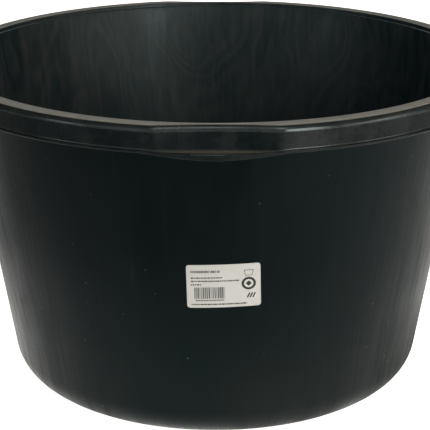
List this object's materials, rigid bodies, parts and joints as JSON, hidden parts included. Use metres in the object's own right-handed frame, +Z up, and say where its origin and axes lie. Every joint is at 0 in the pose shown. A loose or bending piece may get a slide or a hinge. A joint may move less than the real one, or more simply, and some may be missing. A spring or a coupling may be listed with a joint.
{
  "type": "mortar mixing tub",
  "caption": "Round tapered mixing tub of dark recycled plastic, with a flat down-turned rim, two pressed-in grips front and back, and a small paper label.",
  "frame": {"origin": "centre of the tub's underside, on the ground", "axes": "+Z up along the tub's axis, the label and the front grip face -Y, +X to the right seen from the front"},
  "size_m": [0.5058, 0.506, 0.3],
  "materials": {
    "tub_plastic": "dark grey-green recycled polyethylene, satin outside, with vertical flow marks inside",
    "label_paper": "off-white coated label stock with plain dark print"
  },
  "bodies": {
    "root": {"tub_floor": "tub_plastic", "base_corner": "tub_plastic", "tub_wall": "tub_plastic", "rim_top": "tub_plastic", "rim_skirt": "tub_plastic", "front_grip": "tub_plastic", "rear_grip": "tub_plastic", "label": "label_paper"}
  },
  "joints": []
}
